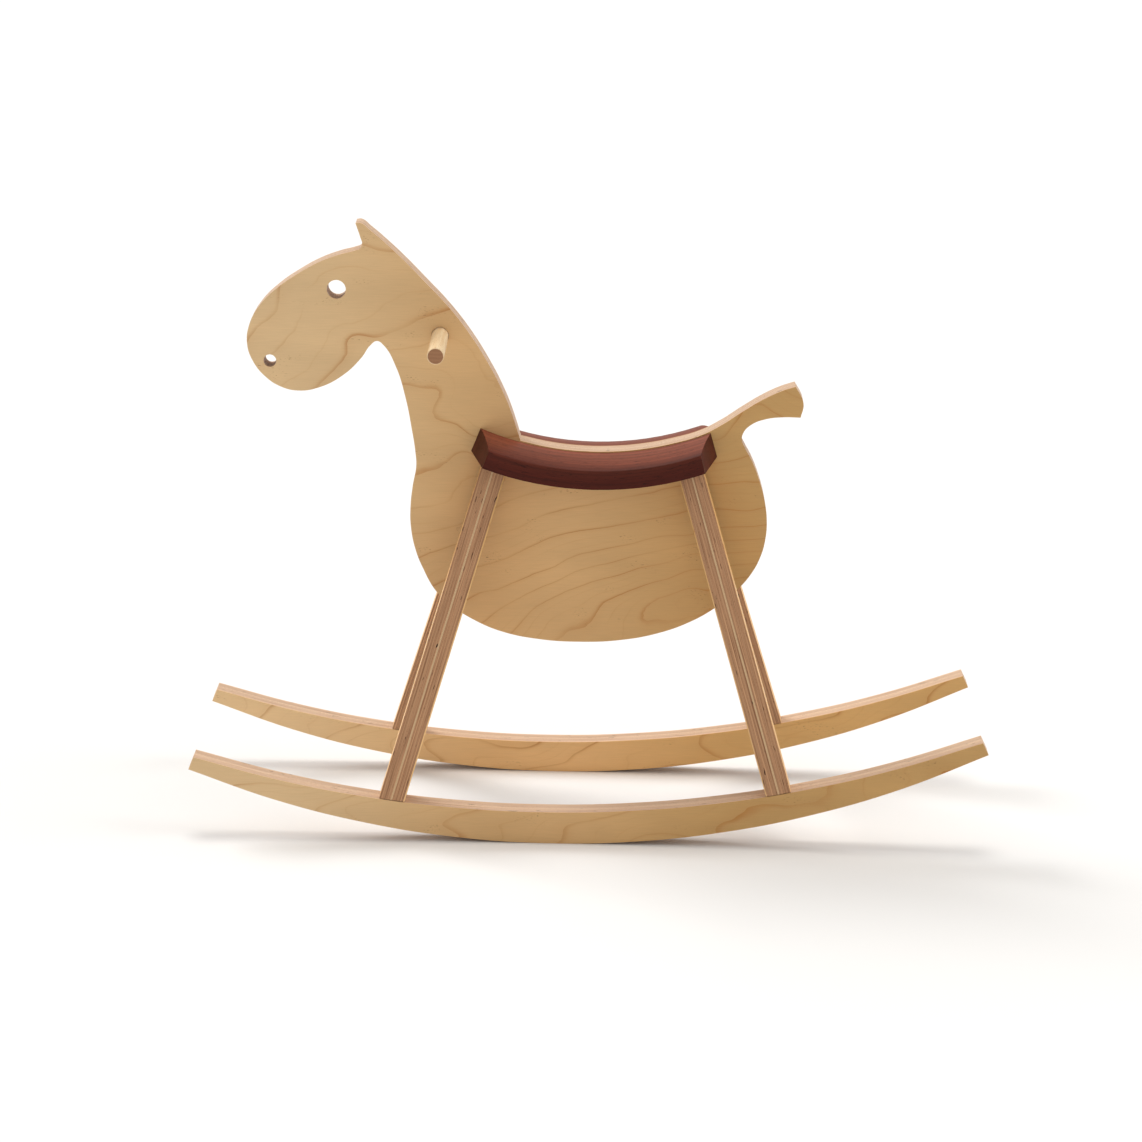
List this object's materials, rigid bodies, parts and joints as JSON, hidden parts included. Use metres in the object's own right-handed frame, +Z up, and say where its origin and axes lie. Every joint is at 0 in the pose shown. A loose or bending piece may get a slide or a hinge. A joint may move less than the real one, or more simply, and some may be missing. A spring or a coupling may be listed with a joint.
{
  "type": "rocking horse",
  "caption": "Child's rocking horse: a flat plywood horse outline with hardwood seat halves, splayed legs, curved rockers and a dowel handle through the neck.",
  "frame": {"origin": "floor level under the middle of the horse's length and width, as it stands balanced on its rockers", "axes": "+Z up, the horse looks along -X, its left side is -Y"},
  "size_m": [0.757, 0.24, 0.5751],
  "materials": {
    "birch_plywood": "clear satin varnish",
    "leg_plywood": "clear satin varnish over cut plies",
    "walnut_seat": "oiled satin",
    "beech_dowel": "clear satin varnish"
  },
  "bodies": {
    "root": {"body_board": "birch_plywood", "seat_left": "walnut_seat", "seat_right": "walnut_seat", "leg_front_left": "leg_plywood", "leg_front_right": "leg_plywood", "leg_rear_left": "leg_plywood", "leg_rear_right": "leg_plywood", "rocker_left": "birch_plywood", "rocker_right": "birch_plywood", "handle_dowel": "beech_dowel", "seat_dowel_front": "beech_dowel", "seat_dowel_rear": "beech_dowel", "leg_head_dowel_front_left": "beech_dowel", "leg_head_dowel_front_right": "beech_dowel", "leg_head_dowel_rear_left": "beech_dowel", "leg_head_dowel_rear_right": "beech_dowel", "leg_foot_dowel_front_left": "beech_dowel", "leg_foot_dowel_front_right": "beech_dowel", "leg_foot_dowel_rear_left": "beech_dowel", "leg_foot_dowel_rear_right": "beech_dowel"}
  },
  "joints": []
}
